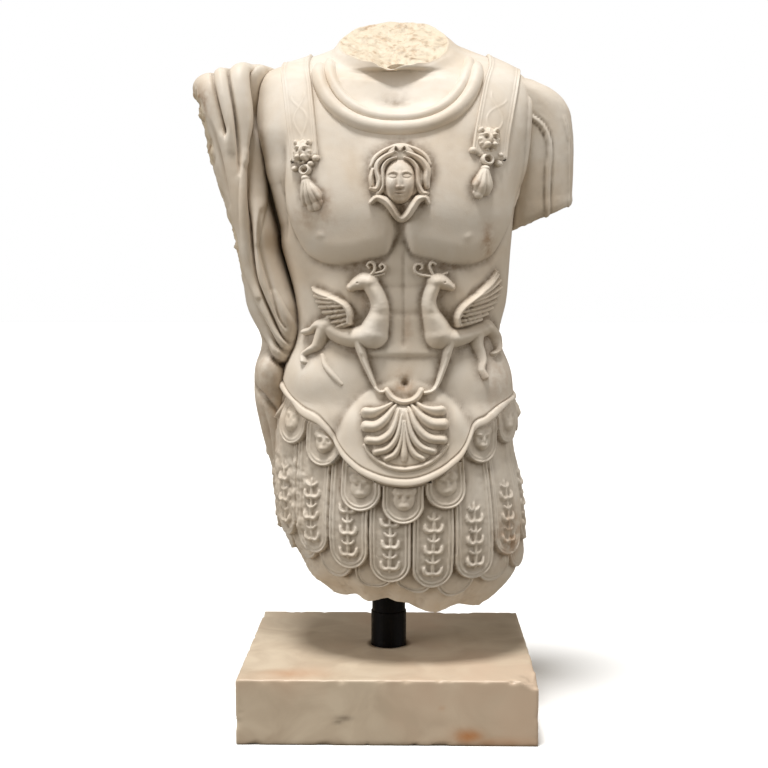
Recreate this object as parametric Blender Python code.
"""Marble torso in a muscle cuirass, held on an iron rod that is set in a marble plinth.

Metres, +Z up, origin at the centre of the plinth's underside, the torso faces -Y.
The torso is drawn in millimetres on a drawing DRAWN_HEIGHT tall and then takes its
real height, so its pose and its carving are shares of TORSO_HEIGHT. On the drawing x
runs to the torso's own left, y to its back and z up from the hem.
"""

import math

import bmesh
import bpy
import numpy as np

# Plinth, in metres
PLINTH_WIDTH = 0.410
PLINTH_DEPTH = 0.350
PLINTH_HEIGHT = 0.091
PLINTH_EDGE = 0.003
CHIP_LENGTH = 0.026
CHIP_HEIGHT = 0.011

# Rod and its wider foot sleeve, which are one piece of iron
ROD_DIAMETER = 0.049
FOOT_DIAMETER = 0.052
FOOT_HEIGHT = 0.052
ROD_IN_PLINTH = 0.050
ROD_IN_TORSO = 0.120
ROD_EDGE = 0.002
ROD_SIDES = 40
FIT_CLEARANCE = 0.0006

# Torso: its height, how far its hem hangs above the plinth, and how far the stone's
# middle line stands off the rod
TORSO_HEIGHT = 0.850
TORSO_LIFT = 0.067
TORSO_OFFSET = 0.0195

# The torso's drawing, in millimetres: it shows the stone as an eye at EYE_SHARE of its
# height sees it, so what is higher is drawn larger
DRAWN_HEIGHT = 872.0
EYE_SHARE = 0.54
PERSPECTIVE = 0.041

# Fineness of the torso's solid: grain of its one skin, and the share of facets kept
CLAY_GRAIN = 0.0035
FACETS_KEPT = 0.036

# Rings of the body from the hem to the neck: height of the middle, reach to the
# right and left of the drawing, to the front and back, tilt, and squareness
BODY_RINGS = np.array((
    (0, 128, 112, 98, 85, 0.0, 2.2),
    (22, 156, 134, 113, 104, 0.0, 2.2),
    (48, 178, 150, 125, 115, 0.0, 2.2),
    (117, 181, 182, 134, 122, 0.0, 2.2),
    (178, 175, 189, 130, 124, 0.0, 2.2),
    (240, 163, 189, 124, 118, 0.0, 2.2),
    (278, 165, 186, 120, 110, 0.0, 2.25),
    (300, 157, 175, 112, 102, 0.0, 2.3),
    (340, 155, 170, 108, 94, 0.0, 2.4),
    (392, 143, 156, 104, 88, 0.0, 2.4),
    (443, 153, 158, 106, 94, 0.0, 2.4),
    (527, 161, 172, 112, 106, 0.0, 2.4),
    (585, 167, 180, 117, 113, 0.0, 2.5),
    (643, 181, 190, 112, 116, 0.0, 2.7),
    (700, 191, 197, 97, 112, 0.0, 2.9),
    (745, 192, 199, 79, 100, 0.1, 2.9),
    (770, 187, 196, 69, 91, 0.2, 2.6),
    (785, 172, 190, 64, 84, 0.3, 2.4),
    (797, 146, 164, 60, 78, 0.42, 2.2),
    (806, 116, 128, 60, 75, 0.52, 2.0),
    (813, 96, 105, 61, 71, 0.60, 2.0),
    (832, 75, 87, 62, 62, 0.70, 2.0),
), dtype=float)
BODY_COLUMNS = 260
BODY_ROW = 3.0
LOFT_ROWS = 14

# Lower rim of the cuirass: its height at each bearing from the front, in degrees
RIM_LINE = (
    (-180, 320), (-110, 318), (-73, 314), (-59, 283), (-46, 267), (-41, 254), (-36, 233), (-28, 213),
    (-15, 197), (-4, 191), (7, 191), (18, 199), (28, 213), (38, 238), (42, 259), (51, 272), (66, 291),
    (90, 305), (180, 320))
RIM_FLARE = 7.0

# Lower border of a breast muscle, by the distance from the breast's middle line
BREAST_MIDDLE = -3.0
BREAST_LINE = (
    (0, 545), (8, 530), (16, 514), (26, 508), (45, 503), (75, 497), (100, 498), (116, 503), (132, 513),
    (146, 536), (158, 565), (175, 615))

# Skirt: tongues a row, the girth on which they are laid out, and each row's first
# middle, half width and thickness over the tunic
TONGUES = 17
GIRTH_HEIGHT = 230.0
SHORT_ROW_START = 2.0
LONG_ROW_START = -15.0
UNDER_ROW_START = 18.0
TONGUE_HALF_WIDTH = 28.0
TONGUE_LAYER = 5.0
TONGUE_VALLEY = 4.0
SHORT_TONGUE_LENGTH = 53.0
LONG_ENDS = ((-170, 112), (-124, 91), (-69, 76), (-15, 59), (42, 51), (97, 61), (140, 80), (180, 95))
UNDER_ENDS = ((-170, 88), (-100, 64), (-41, 45), (19, 39), (71, 34), (120, 51), (180, 62))
HEM_STEP = 15.0

# Folds of the cloak's hanging side: each one's path on the drawing, and its depth
CLOAK_FOLDS = (
    (((-275, 768), (-267, 730), (-261, 706), (-257, 690)), 12),
    (((-246, 770), (-241, 720), (-237, 693), (-234, 660), (-235, 635)), 13),
    (((-219, 780), (-214, 760), (-209, 726), (-210, 700), (-215, 676), (-217, 640), (-218, 563), (-217, 521),
      (-214, 480), (-204, 455), (-192, 430), (-178, 403), (-162, 385)), 13),
    (((-206, 563), (-204, 530), (-193, 483), (-178, 427), (-168, 408)), 6),
    (((-231, 473), (-218, 438), (-204, 413), (-188, 388), (-166, 370)), 11),
    (((-277, 693), (-268, 660), (-259, 618), (-253, 585)), 8),
    (((-222, 392), (-209, 383), (-196, 366), (-170, 349)), 12),
    (((-217, 314), (-203, 305), (-183, 286)), 8),
    (((-205, 280), (-199, 250), (-194, 215)), 7),
)


def ease(value, low, high):
    """Share that rises smoothly from 0 at low to 1 at high."""
    share = np.clip((np.asarray(value, dtype=float) - low) / (high - low), 0.0, 1.0)
    return share * share * (3.0 - 2.0 * share)


def smooth_through(at, knots, values):
    """Smooth curve through the values at the knots: cubics with centred slopes."""
    knots = np.asarray(knots, dtype=float)
    values = np.asarray(values, dtype=float)
    slopes = np.gradient(values, knots)
    at = np.clip(at, knots[0], knots[-1])
    piece = np.clip(np.searchsorted(knots, at) - 1, 0, len(knots) - 2)
    span = knots[piece + 1] - knots[piece]
    t = (at - knots[piece]) / span
    start = (1 + 2 * t) * (1 - t) ** 2 * values[piece] + t * (1 - t) ** 2 * span * slopes[piece]
    end = t * t * (3 - 2 * t) * values[piece + 1] - t * t * (1 - t) * span * slopes[piece + 1]
    return start + end


def curve_points(points, steps):
    """A hand-drawn path as more points on one smooth curve."""
    points = np.asarray(points, dtype=float)
    knots = np.arange(len(points))
    at = np.linspace(0, len(points) - 1, steps)
    return np.stack([smooth_through(at, knots, points[:, axis]) for axis in range(points.shape[1])], axis=1)


def from_drawing(points):
    """Places on the stone, in metres, of points on the drawing."""
    share = points[..., 2] / DRAWN_HEIGHT
    scale = TORSO_HEIGHT / DRAWN_HEIGHT
    wide = scale * (1 + PERSPECTIVE * (EYE_SHARE - share))
    high = TORSO_HEIGHT * share * (1 + PERSPECTIVE * (1 - share))
    return np.stack((points[..., 0] * wide, points[..., 1] * wide, high), axis=-1)


def to_drawing(across):
    """Distance on the drawing, level with the hem, of a distance in metres."""
    return across * DRAWN_HEIGHT / (TORSO_HEIGHT * (1 + PERSPECTIVE * EYE_SHARE))


def roughness(x, y, z, size):
    """Broken-stone unevenness from -1 to 1 whose lumps are about this size."""
    a = np.sin(2.1 * x / size + 1.3 * np.sin(1.7 * y / size + 0.6) + 0.9)
    b = np.sin(1.9 * z / size + 1.1 * np.sin(2.3 * x / size + 2.1) + 4.2)
    c = np.sin(2.6 * y / size + 1.4 * np.sin(1.5 * z / size + 3.3) + 2.6)
    return (a + b + c) / 3.0


def ridge(x, z, path, radii, rise, steps=9):
    """Height of a rounded ridge that follows a path and tapers between its radii."""
    line = curve_points([(*point, radius) for point, radius in zip(path, radii)], steps)
    height = np.zeros_like(x)
    for (x0, z0, r0), (x1, z1, r1) in zip(line, line[1:]):
        dx = x1 - x0
        dz = z1 - z0
        share = np.clip(((x - x0) * dx + (z - z0) * dz) / (dx * dx + dz * dz), 0.0, 1.0)
        distance = np.hypot(x - x0 - share * dx, z - z0 - share * dz)
        radius = r0 + (r1 - r0) * share
        height = np.maximum(height, rise * np.sqrt(np.clip(1 - (distance / radius) ** 2, 0, 1)))
    return height


def mound(x, z, middle, reach, rise, edge=2.0):
    """Height of an oval mound; a larger edge makes it flatter with a steeper border."""
    radius = np.hypot((x - middle[0]) / reach[0], (z - middle[1]) / reach[1])
    return rise * np.sqrt(np.clip(1 - radius ** edge, 0, 1))


def body_levels():
    """Distance along the side of the body at which each of its rings lies."""
    step = np.hypot(np.diff(BODY_RINGS[:, 0]), np.diff(BODY_RINGS[:, 1]))
    return np.concatenate(([0.0], np.cumsum(step)))


def body_point(angle, level):
    """Plain body: superellipse rings, turned from the front towards +x, that tilt at the neck."""
    levels = body_levels()
    columns = [smooth_through(level, levels, BODY_RINGS[:, index]) for index in range(7)]
    height, right, left, front, back, tilt, squareness = columns
    across = np.sin(angle)
    along = -np.cos(angle)
    x = np.sign(across) * np.abs(across) ** (2 / squareness) * np.where(across > 0, right, left)
    y = np.sign(along) * np.abs(along) ** (2 / squareness) * np.where(along > 0, back, front)
    return x, y, height + tilt * y


def grid_normals(points, closed):
    """Unit normals of a grid whose columns run round and whose rows run up."""
    if closed:
        around = np.roll(points, -1, axis=1) - np.roll(points, 1, axis=1)
    else:
        around = np.gradient(points, axis=1)
    normals = np.cross(around, np.gradient(points, axis=0))
    length = np.linalg.norm(normals, axis=2, keepdims=True)
    return normals / np.maximum(length, 1e-9)


def girth_ring():
    """Bearings round the hips where the skirt is laid out, and the distance to each from the front."""
    angle = np.linspace(-math.pi, math.pi, 721)
    level = np.interp(GIRTH_HEIGHT, BODY_RINGS[:, 0], body_levels())
    x, y, _ = body_point(angle, np.full_like(angle, level))
    length = np.concatenate(([0.0], np.cumsum(np.hypot(np.diff(x), np.diff(y)))))
    bearing = np.linspace(-math.pi, math.pi, 721)
    bearing[1:-1] = np.arctan2(x, -y)[1:-1]
    return bearing, length - np.interp(0.0, bearing, length)


def muscles(x, z):
    """Height of the muscles that the front of the cuirass shows."""
    side = np.abs(x - BREAST_MIDDLE)
    above = z - smooth_through(side, *zip(*BREAST_LINE))
    height = 14 * np.sin(0.5 * math.pi * np.clip(above / 36, 0, 1)) ** 0.75 * (1 - ease(z, 560, 690))
    height *= 1 - 0.85 * np.exp(-((x - BREAST_MIDDLE + 1) / 10) ** 2) * (1 - ease(z, 590, 660))
    side = np.abs(x - 2)
    height += 9 * np.exp(-((side - 100) / 34) ** 2 - ((z - 456) / 40) ** 2)
    height += 4.5 * ease(z, 366, 373) * (1 - ease(side, 42, 74)) * (1 - 0.45 * ease(z, 380, 470))
    height -= 4 * np.exp(-((x - 2) / 8) ** 2) * ease(z, 374, 384) * (1 - ease(z, 500, 520))
    for tendon, depth in ((466, 2.0), (428, 2.8)):
        height -= depth * np.exp(-((z - tendon - 0.05 * side) / 5) ** 2) * (1 - ease(side, 36, 60))
    height += mound(x, z, (-127, 328), (46, 64), 16, 2.5)
    height += mound(x, z, (122, 325), (44, 62), 14, 2.5)
    height += mound(x, z, (4, 236), (96, 97), 11, 3.4)
    return height - 8 * np.exp(-((x - 4.5) / 6) ** 2 - ((z - 331) / 7) ** 2)


def griffin(x, z, side):
    """Height of one winged beast that rears towards the middle and looks away from it."""
    x = side * x
    height = ridge(x, z, ((24, 420), (32, 404), (60, 396), (86, 407), (99, 414)), (17, 20, 15, 10, 9), 8)
    height = np.maximum(height, ridge(x, z, ((26, 418), (20, 447), (26, 470), (42, 483)), (16, 12, 9, 9), 8))
    height = np.maximum(height, ridge(x, z, ((40, 484), (58, 482), (73, 469)), (9, 9, 5), 9))
    height = np.maximum(height, ridge(x, z, ((36, 490), (32, 498), (26, 500)), (3.5, 3.5, 4), 5, 5))
    wing = ((62, 420), (72, 440), (98, 456), (116, 466))
    if side > 0:
        wing = ((62, 410), (70, 432), (92, 452), (112, 472))
    height = np.maximum(height, ridge(x, z, wing, (12, 13, 11, 4), 7))
    height = np.maximum(height, ridge(x, z, ((98, 410), (116, 404), (131, 405)), (9, 8, 6), 6, 5))
    leg = ((96, 404), (104, 386), (120, 370), (124, 356))
    height = np.maximum(height, ridge(x, z, leg, (10, 8, 7, 6), 6, 6))
    return np.maximum(height, ridge(x, z, ((60, 384), (48, 352), (34, 322)), (8, 7, 6), 6, 5))


def palmette(x, z):
    """Height of the hanging shell palmette: leaves in a fan below a curved clasp."""
    height = ridge(x, z, ((-19, 320), (-10, 305), (6, 302), (20, 306), (26, 320)), (5, 5, 5, 5, 5), 8)
    for leaf in range(-5, 6):
        turn = math.radians(16.0 * leaf)
        length = 50 + 14 * math.cos(turn)
        tip = (3 + length * math.sin(turn) * 0.98, 292 - length * math.cos(turn) * 1.02)
        middle = (3 + 0.38 * length * math.sin(turn), 296 - 0.66 * length * math.cos(turn) - 6)
        height = np.maximum(height, ridge(x, z, ((3, 298), middle, tip), (3, 5, 7.5), 6, 6))
    return height


def chest_mask(x, z):
    """Height of the small round face in locks of hair over a knotted scarf."""
    height = ridge(x, z, ((-42, 584), (-26, 572), (0, 563), (24, 572), (38, 586)), (8, 9, 10, 9, 7), 8)
    for locks in (((-34, 598), (-40, 622), (-30, 646), (0, 660)), ((30, 596), (36, 620), (26, 646), (0, 660))):
        height = np.maximum(height, ridge(x, z, locks, (9, 10, 11, 12), 12))
    return np.maximum(height, mound(x, z, (-2, 613), (25, 34), 21))


def fastener(x, z, middle, lean):
    """Height of a lion's head with a ring and a tassel below it."""
    x = x - middle[0] - lean * (z - middle[1])
    z = z - middle[1]
    height = mound(x, z, (0, 0), (20, 24), 13)
    height = np.maximum(height, mound(x, z, (0, -14), (11, 10), 17))
    height = np.maximum(height, ridge(x, z, ((0, -30), (4, -44), (9, -66)), (8, 12, 11), 10, 5))
    return height


def straps(x, z):
    """Height of the two shoulder straps with their raised borders."""
    height = np.zeros_like(x)
    for top, bottom, widths in (((-156, 800), (-137, 640), (23, 20)), ((149, 800), (121, 648), (23, 25))):
        share = (z - bottom[1]) / (top[1] - bottom[1])
        middle = bottom[0] + (top[0] - bottom[0]) * share
        half = widths[1] + (widths[0] - widths[1]) * np.clip(share, 0, 1)
        inside = half - np.abs(x - middle)
        end = z - bottom[1] - 0.3 * (x - middle) * np.sign(bottom[0]) * -1
        band = ease(inside, -1.5, 1.5) * ease(end, -1.5, 1.5)
        height += band * (3.5 + 1.5 * np.exp(-((inside - 3) / 2) ** 2))
    return height


def rim_height(x, y):
    """Height of the cuirass's lower rim at this bearing."""
    return smooth_through(np.degrees(np.arctan2(x, -y)), *zip(*RIM_LINE))


def tongue_row(girth, z, pitch, start, ends):
    """Depth inside the nearest round-ended tongue of a row, distance from its middle, and its end."""
    middle = start + pitch * np.round((girth - start) / pitch)
    aside = np.abs(girth - middle)
    end = ends(middle)
    below = np.clip(end + TONGUE_HALF_WIDTH - z, 0, None)
    return TONGUE_HALF_WIDTH - np.hypot(aside, below), aside, end


def skirt(x, y, z):
    """Height of the skirt's overlapping tongues, with the long row as the zero."""
    ring_bearing, ring_length = girth_ring()
    girth = np.interp(np.arctan2(x, -y), ring_bearing, ring_length)
    pitch = (ring_length[-1] - ring_length[0]) / TONGUES

    def short_ends(middle):
        bearing = np.degrees(np.interp(middle, ring_length, ring_bearing))
        return smooth_through(bearing, *zip(*RIM_LINE)) - SHORT_TONGUE_LENGTH

    height = np.full_like(x, -2 * TONGUE_LAYER)
    height += 4 * np.cos(girth / 13.0) * (1 - ease(z, 30, 70))
    rows = (
        (UNDER_ROW_START, lambda middle: np.interp(middle, *zip(*UNDER_ENDS)), -TONGUE_LAYER),
        (LONG_ROW_START, lambda middle: np.interp(middle, *zip(*LONG_ENDS)), 0.0),
        (SHORT_ROW_START, short_ends, TONGUE_LAYER),
    )
    for start, ends, layer in rows:
        inside, aside, end = tongue_row(girth, z, pitch, start, ends)
        top = layer + 2 * np.exp(-((inside - 5) / 3) ** 2) - TONGUE_VALLEY * np.exp(-(inside / 2.5) ** 2)
        if layer > 0:
            top += mound(aside, z - end, (0, 26), (14, 16), 8)
        height = np.where(inside > 0, np.maximum(height, top), height)
    under_rim = ease(rim_height(x, y) - z, 2, 14)
    return height * under_rim + TONGUE_LAYER * (1 - under_rim)


def cuirass(x, y, z):
    """Height of the carving above the rim: muscles, straps, beasts, palmette and mask."""
    front = ease(-y, 5, 45)
    height = muscles(x, z) * front
    height += straps(x, z) * ease(-y, -60, -20)
    carved = np.maximum(griffin(x, z, 1), griffin(x, z, -1))
    carved = np.maximum(carved, palmette(x, z))
    carved = np.maximum(carved, chest_mask(x, z))
    carved = np.maximum(carved, fastener(x, z, (-139, 655), 0.0))
    carved = np.maximum(carved, fastener(x, z, (122, 668), 0.1))
    above = z - rim_height(x, y)
    flare = RIM_FLARE * np.exp(-np.clip(above, 0, None) / 22)
    flare += 3.4 * np.sqrt(np.clip(1 - ((above - 5.2) / 6) ** 2, 0, 1))
    return height + carved * front + flare


def body_skin():
    """The body as a grid of points from the socket in its underside to the neck's break."""
    levels = body_levels()
    rows = np.linspace(0, levels[-1], int(levels[-1] / BODY_ROW))
    turns = np.linspace(-math.pi, math.pi, BODY_COLUMNS, endpoint=False)
    angle, level = np.meshgrid(turns, rows)
    x, y, z = body_point(angle, level)
    points = np.stack((x, y, z), axis=2)
    above = ease(z - rim_height(x, y), -1.5, 1.5)
    relief = skirt(x, y, z) * (1 - above) + cuirass(x, y, z) * above
    points += grid_normals(points, closed=True) * relief[:, :, None]
    loose = 1 - ease(points[:, :, 2], 12, 60)
    points[:, :, 2] += loose * HEM_STEP * (1 - ease(points[:, :, 0], 0, 35))
    under = np.array((to_drawing(-TORSO_OFFSET), 0.0, 12.0))
    crown = points[-1].mean(axis=0)
    floor_rows = [under + (points[0] - under) * share for share in (0.02, 0.35, 0.7, 0.92)]
    break_rows = [crown + (points[-1] - crown) * share for share in (0.95, 0.8, 0.6, 0.4, 0.2, 0.02)]
    for row in break_rows:
        row[:, 2] += 4.0 * roughness(row[:, 0], row[:, 1], row[:, 2], 17.0)
    return np.concatenate((floor_rows, points, break_rows))


def oval_loft(rings, columns, shape=2.4):
    """Grid of oval rings: height, middle x and y, half width, half depth, tilt along x."""
    rings = np.asarray(rings, dtype=float)
    knots = np.arange(len(rings))
    rows = np.linspace(0, len(rings) - 1, LOFT_ROWS * len(rings))
    angle, level = np.meshgrid(np.linspace(-math.pi, math.pi, columns, endpoint=False), rows)
    height, cx, cy, half_x, half_y, tilt = (smooth_through(level, knots, rings[:, i]) for i in range(6))
    across = np.sign(np.sin(angle)) * np.abs(np.sin(angle)) ** (2 / shape)
    along = -np.sign(np.cos(angle)) * np.abs(np.cos(angle)) ** (2 / shape)
    x = cx + half_x * across
    y = cy + half_y * along
    return np.stack((x, y, height + tilt * (x - cx)), axis=2)


def sleeve_stump():
    """Upper arm in its sleeve of long straps, broken off on a slant."""
    points = oval_loft((
        (560, 205, 15, 30, 30, 0.37),
        (562, 205, 15, 48, 46, 0.37),
        (600, 204, 15, 50, 50, 0.2),
        (670, 204, 15, 52, 52, 0.0),
        (720, 197, 14, 56, 51, -0.15),
        (752, 186, 12, 61, 47, -0.3),
        (770, 168, 10, 63, 38, -0.25),
        (780, 150, 8, 48, 22, -0.15),
    ), 72)
    x = points[:, :, 0]
    z = points[:, :, 2]
    border = np.zeros_like(x)
    for reach in (212.0, 249.0):
        middle = reach - 20 * ease(z, 680, 740)
        border += 2.5 * np.exp(-((x - middle - 3) / 2.5) ** 2) + 2.5 * np.exp(-((x - middle + 4) / 2.5) ** 2)
    points += grid_normals(points, closed=True) * border[:, :, None]
    return points


def fold_depth(x, z):
    """Depth of the cloak's carved folds: each a narrow cut in a wide soft trough along its path."""
    depth = np.zeros_like(x)
    for path, rise in CLOAK_FOLDS:
        line = curve_points(path, 4 * len(path))
        distance = np.full_like(x, 1e6)
        for (x0, z0), (x1, z1) in zip(line, line[1:]):
            dx = x1 - x0
            dz = z1 - z0
            share = np.clip(((x - x0) * dx + (z - z0) * dz) / (dx * dx + dz * dz), 0.0, 1.0)
            distance = np.minimum(distance, np.hypot(x - x0 - share * dx, z - z0 - share * dz))
        cut = 0.6 * np.exp(-(distance / 4) ** 2) + 0.4 * np.exp(-(distance / 10) ** 2)
        depth = np.maximum(depth, rise * cut)
    return depth


def cloak_mass():
    """Cloak over the other shoulder and arm, which hangs in long folds down the side."""
    points = oval_loft((
        (178, -184, 30, 6, 14, 0.0),
        (190, -182, 30, 12, 44, 0.0),
        (237, -186, 28, 22, 62, 0.0),
        (300, -192, 24, 29, 70, 0.0),
        (345, -191, 20, 29, 76, 0.0),
        (386, -180, 20, 31, 80, 0.0),
        (430, -190, 20, 40, 83, 0.0),
        (461, -199, 20, 38, 85, 0.0),
        (513, -213, 20, 34, 87, 0.0),
        (551, -220, 20, 35, 89, 0.0),
        (600, -234, 20, 36, 91, 0.0),
        (643, -243, 20, 41, 92, 0.0),
        (707, -251, 18, 48, 90, 0.0),
        (755, -259, 16, 56, 80, 0.0),
        (783, -255, 14, 54, 60, 0.05),
        (796, -246, 14, 30, 32, 0.05),
        (800, -244, 14, 6, 8, 0.05),
    ), 132)
    points[:, :, 0] += 0.55 * np.clip(points[:, :, 1] - 10, 0, None)
    x = points[:, :, 0]
    z = points[:, :, 2]
    front = ease(10 - points[:, :, 1], 0, 30)
    back = ease(points[:, :, 1] - 30, 0, 30)
    carved = -fold_depth(x, z) * front - 7 * back * (0.5 + 0.5 * np.cos(x / 6.5))
    broken = ease(-x - 236, 0, 12) * ease(z, 420, 460) * (1 - ease(z, 730, 780))
    carved += 4 * broken * roughness(x, points[:, :, 1], z, 15)
    points += grid_normals(points, closed=True) * carved[:, :, None]
    return points


def cloak_back():
    """Sheet of the cloak that lies over the back, pleated, from the shoulder to the hip."""
    rows = np.linspace(196, 778, 120)
    turns = np.radians(np.linspace(-92, -196, 90))
    angle, height = np.meshgrid(turns, rows)
    level = np.interp(height, BODY_RINGS[:, 0], body_levels())
    x, y, z = body_point(angle, level)
    plain = np.stack((x, y, z), axis=2)
    normals = -grid_normals(plain, closed=False)
    across = np.linspace(0, 1, 90)[None, :]
    edge = ease(across, 0, 0.08) * (1 - ease(across, 0.9, 1))
    edge = edge * ease(height, 196, 214) * (1 - ease(height, 762, 778))
    pleats = 9 + 5 * np.cos(across * 62 + 1.2 * np.sin(height / 90))
    outer = plain + normals * (edge * (4 + pleats) - 2)[:, :, None]
    inner = plain - normals * 14
    return np.concatenate((outer, inner[:, ::-1]), axis=1)


def level_at(angle, height):
    """Level on the body at which each angle's side reaches a height, found by halving."""
    low = np.zeros_like(angle)
    high = np.full_like(angle, body_levels()[-1])
    for _ in range(24):
        middle = (low + high) / 2
        _, _, z = body_point(angle, middle)
        low = np.where(z < height, middle, low)
        high = np.where(z < height, high, middle)
    return (low + high) / 2


def on_body(x, z, behind):
    """Points of the plain body seen at these places from the front, or on its back."""
    angle = np.where(behind, math.pi, 0.0)
    for _ in range(24):
        level = level_at(angle, z)
        reach, squareness = (smooth_through(level, body_levels(), BODY_RINGS[:, index])
                             for index in (1, 6))
        left = smooth_through(level, body_levels(), BODY_RINGS[:, 2])
        share = np.clip(np.abs(x) / np.where(x > 0, reach, left), 0, 1)
        turned = np.arcsin(share ** (squareness / 2))
        angle = (angle + np.sign(x) * np.where(behind, math.pi - turned, turned)) / 2
    return np.stack(body_point(angle, level_at(angle, z)), axis=-1)


def collar_roll(middle_x, half_width, front, side, back, radius):
    """One rolled edge of the tunic, from the throat over the shoulders to the back of the neck."""
    turn = np.linspace(0, 2 * math.pi, 120, endpoint=False)
    fore = np.cos(turn)
    height = side + (front - back) / 2 * fore + ((front + back) / 2 - side) * fore ** 2
    middle = on_body(middle_x + half_width * np.sin(turn), height, fore < 0)
    middle = sum(np.roll(middle, step, axis=0) for step in (-2, -1, 0, 1, 2)) / 5
    along = np.roll(middle, -1, axis=0) - np.roll(middle, 1, axis=0)
    along /= np.linalg.norm(along, axis=1, keepdims=True)
    out = np.cross(along, np.array((0.0, 0.0, 1.0)))
    out /= np.linalg.norm(out, axis=1, keepdims=True)
    up = np.cross(out, along)
    spin = np.linspace(0, 2 * math.pi, 12, endpoint=False)
    ring = out[:, None, :] * np.cos(spin)[None, :, None] + up[:, None, :] * np.sin(spin)[None, :, None]
    return middle[:, None, :] + radius * ring


def grid_faces(rows, columns, first, loop):
    """Quads of a grid that closes round its columns, and round its rows too if it is a loop."""
    row = np.arange(rows if loop else rows - 1)
    column = np.arange(columns)
    here, next_row = np.meshgrid(column, row)[0], (np.meshgrid(column, row)[1] + 1) % rows
    this_row = np.meshgrid(column, row)[1]
    beside = (here + 1) % columns
    corners = (this_row * columns + here, this_row * columns + beside,
               next_row * columns + beside, next_row * columns + here)
    return first + np.stack(corners, axis=2).reshape(-1, 4)


def grid_mesh(name, grids):
    """One mesh of several closed grids, in metres, each a tube with flat ends or a ring."""
    vertices = []
    faces = []
    first = 0
    for points, loop in grids:
        rows, columns, _ = points.shape
        vertices.append(points.reshape(-1, 3))
        faces += grid_faces(rows, columns, first, loop).tolist()
        if not loop:
            faces.append(list(range(first + columns - 1, first - 1, -1)))
            top = first + (rows - 1) * columns
            faces.append(list(range(top, top + columns)))
        first += rows * columns
    mesh = bpy.data.meshes.new(name)
    mesh.from_pydata(np.concatenate(vertices).tolist(), [], faces)
    mesh.validate()
    mesh.update()
    return mesh


def stone(name, colour, rough):
    """Principled material for a stone or metal piece."""
    material = bpy.data.materials.new(name)
    material.use_nodes = True
    shader = material.node_tree.nodes["Principled BSDF"]
    shader.inputs["Base Color"].default_value = (*colour, 1.0)
    shader.inputs["Roughness"].default_value = rough
    return material


def add_object(name, mesh, material):
    """Object of this mesh and material in the scene."""
    piece = bpy.data.objects.new(name, mesh)
    bpy.context.collection.objects.link(piece)
    if material is not None:
        mesh.materials.append(material)
    return piece


def add_cutter(name, radius, low, high, host):
    """Upright cylinder taken out of its host, with the rod's axis as its own."""
    mesh = bpy.data.meshes.new(name)
    shape = bmesh.new()
    bmesh.ops.create_cone(
        shape, cap_ends=True, segments=ROD_SIDES, radius1=radius, radius2=radius, depth=high - low)
    bmesh.ops.translate(shape, verts=shape.verts, vec=(0, 0, (low + high) / 2))
    shape.to_mesh(mesh)
    shape.free()
    cutter = add_object(name, mesh, None)
    cutter.hide_render = True
    cutter.display_type = "WIRE"
    cut = host.modifiers.new(name, "BOOLEAN")
    cut.operation = "DIFFERENCE"
    cut.solver = "EXACT"
    cut.object = cutter
    return cutter


def add_plinth():
    """Marble block with softened edges, a chipped corner and a blind hole for the rod."""
    mesh = bpy.data.meshes.new("plinth")
    shape = bmesh.new()
    bmesh.ops.create_cube(shape, size=1.0)
    bmesh.ops.scale(shape, verts=shape.verts, vec=(PLINTH_WIDTH, PLINTH_DEPTH, PLINTH_HEIGHT))
    bmesh.ops.translate(shape, verts=shape.verts, vec=(0, 0, PLINTH_HEIGHT / 2))
    bmesh.ops.bevel(shape, geom=shape.edges[:], offset=PLINTH_EDGE, segments=2, profile=0.5, affect="EDGES")
    shape.to_mesh(mesh)
    shape.free()
    plinth = add_object("plinth", mesh, stone("beige marble", (0.62, 0.53, 0.43), 0.45))
    hole = (FOOT_DIAMETER / 2 + FIT_CLEARANCE) / math.cos(math.pi / ROD_SIDES)
    low = PLINTH_HEIGHT - ROD_IN_PLINTH - FIT_CLEARANCE
    add_cutter("plinth_socket", hole, low, PLINTH_HEIGHT + ROD_IN_PLINTH, plinth)
    chip = bpy.data.meshes.new("chip")
    shape = bmesh.new()
    bmesh.ops.create_cube(shape, size=1.0)
    bmesh.ops.scale(shape, verts=shape.verts, vec=(2 * CHIP_LENGTH, 2 * CHIP_LENGTH, 2 * CHIP_HEIGHT))
    shape.to_mesh(chip)
    shape.free()
    cutter = add_object("chip", chip, None)
    cutter.location = (PLINTH_WIDTH / 2 + CHIP_LENGTH / 3, -PLINTH_DEPTH / 2, PLINTH_HEIGHT + CHIP_HEIGHT / 2)
    cutter.rotation_euler = (math.radians(6), math.radians(38), math.radians(40))
    cutter.hide_render = True
    cutter.display_type = "WIRE"
    cut = plinth.modifiers.new("chip", "BOOLEAN")
    cut.operation = "DIFFERENCE"
    cut.solver = "EXACT"
    cut.object = cutter
    return plinth


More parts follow.
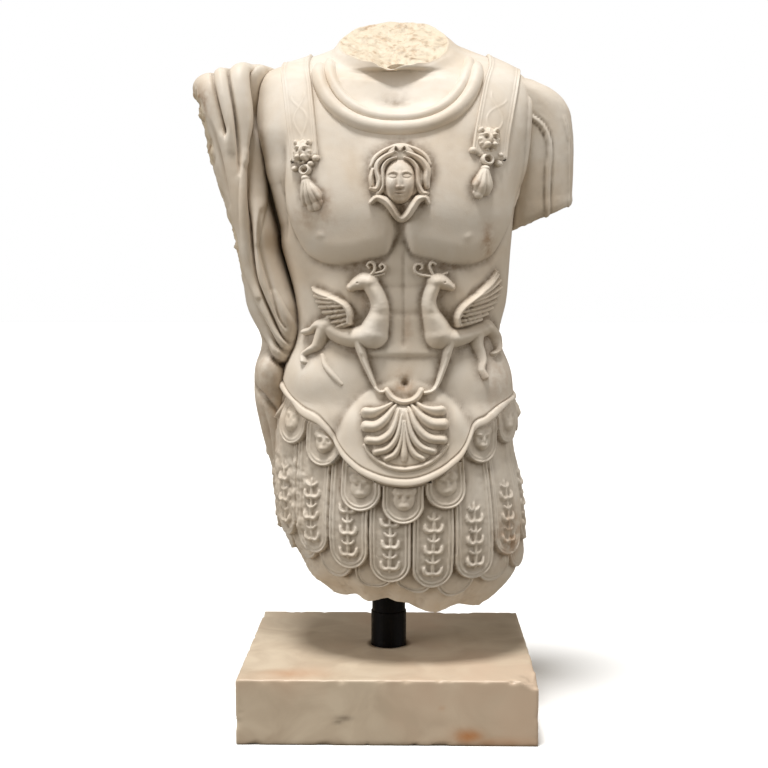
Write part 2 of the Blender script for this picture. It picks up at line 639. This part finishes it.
def add_rod():
    """Iron rod with its wider foot, turned from one profile."""
    low = PLINTH_HEIGHT - ROD_IN_PLINTH
    shoulder = PLINTH_HEIGHT + FOOT_HEIGHT
    high = PLINTH_HEIGHT + TORSO_LIFT + ROD_IN_TORSO
    rod_radius = ROD_DIAMETER / 2
    foot_radius = FOOT_DIAMETER / 2
    profile = (
        (rod_radius - ROD_EDGE, high),
        (rod_radius, high - ROD_EDGE),
        (rod_radius, shoulder),
        (foot_radius, shoulder - (foot_radius - rod_radius)),
        (foot_radius, low + ROD_EDGE),
        (foot_radius - ROD_EDGE, low),
    )
    turn = np.linspace(0, 2 * math.pi, ROD_SIDES, endpoint=False)
    round_way = np.stack((np.sin(turn), -np.cos(turn)), axis=1)
    rings = [np.column_stack((radius * round_way, np.full_like(turn, z))) for radius, z in profile[::-1]]
    iron = stone("black iron", (0.012, 0.012, 0.013), 0.38)
    rod = add_object("rod", grid_mesh("rod", [(np.stack(rings), False)]), iron)
    rod.data.shade_smooth()
    rod.data.set_sharp_from_angle(angle=math.radians(30))
    return rod


def add_torso():
    """The whole stone: its forms are laid over each other, made one skin, and bored for the rod."""
    grids = [
        (body_skin(), False),
        (sleeve_stump(), False),
        (cloak_mass(), False),
        (cloak_back(), False),
        (collar_roll(-6, 103, 705, 810, 820, 9), True),
        (collar_roll(-7, 117, 690, 802, 806, 11), True),
    ]
    grids = [(from_drawing(points), loop) for points, loop in grids]
    torso = add_object("torso", grid_mesh("torso", grids), stone("ivory marble", (0.78, 0.70, 0.58), 0.55))
    torso.location = (TORSO_OFFSET, 0.0, PLINTH_HEIGHT + TORSO_LIFT)
    skin = torso.modifiers.new("one skin", "REMESH")
    skin.mode = "VOXEL"
    skin.voxel_size = CLAY_GRAIN
    skin.use_smooth_shade = True
    thin = torso.modifiers.new("facets", "DECIMATE")
    thin.ratio = FACETS_KEPT
    hole = (ROD_DIAMETER / 2 + FIT_CLEARANCE) / math.cos(math.pi / ROD_SIDES)
    low = PLINTH_HEIGHT + TORSO_LIFT - ROD_IN_TORSO
    high = PLINTH_HEIGHT + TORSO_LIFT + ROD_IN_TORSO + FIT_CLEARANCE
    add_cutter("torso_socket", hole, low, high, torso)
    return torso


def main():
    """Clear the scene and build the three pieces."""
    for leftover in list(bpy.data.objects):
        bpy.data.objects.remove(leftover, do_unlink=True)
    add_plinth()
    add_rod()
    add_torso()


main()
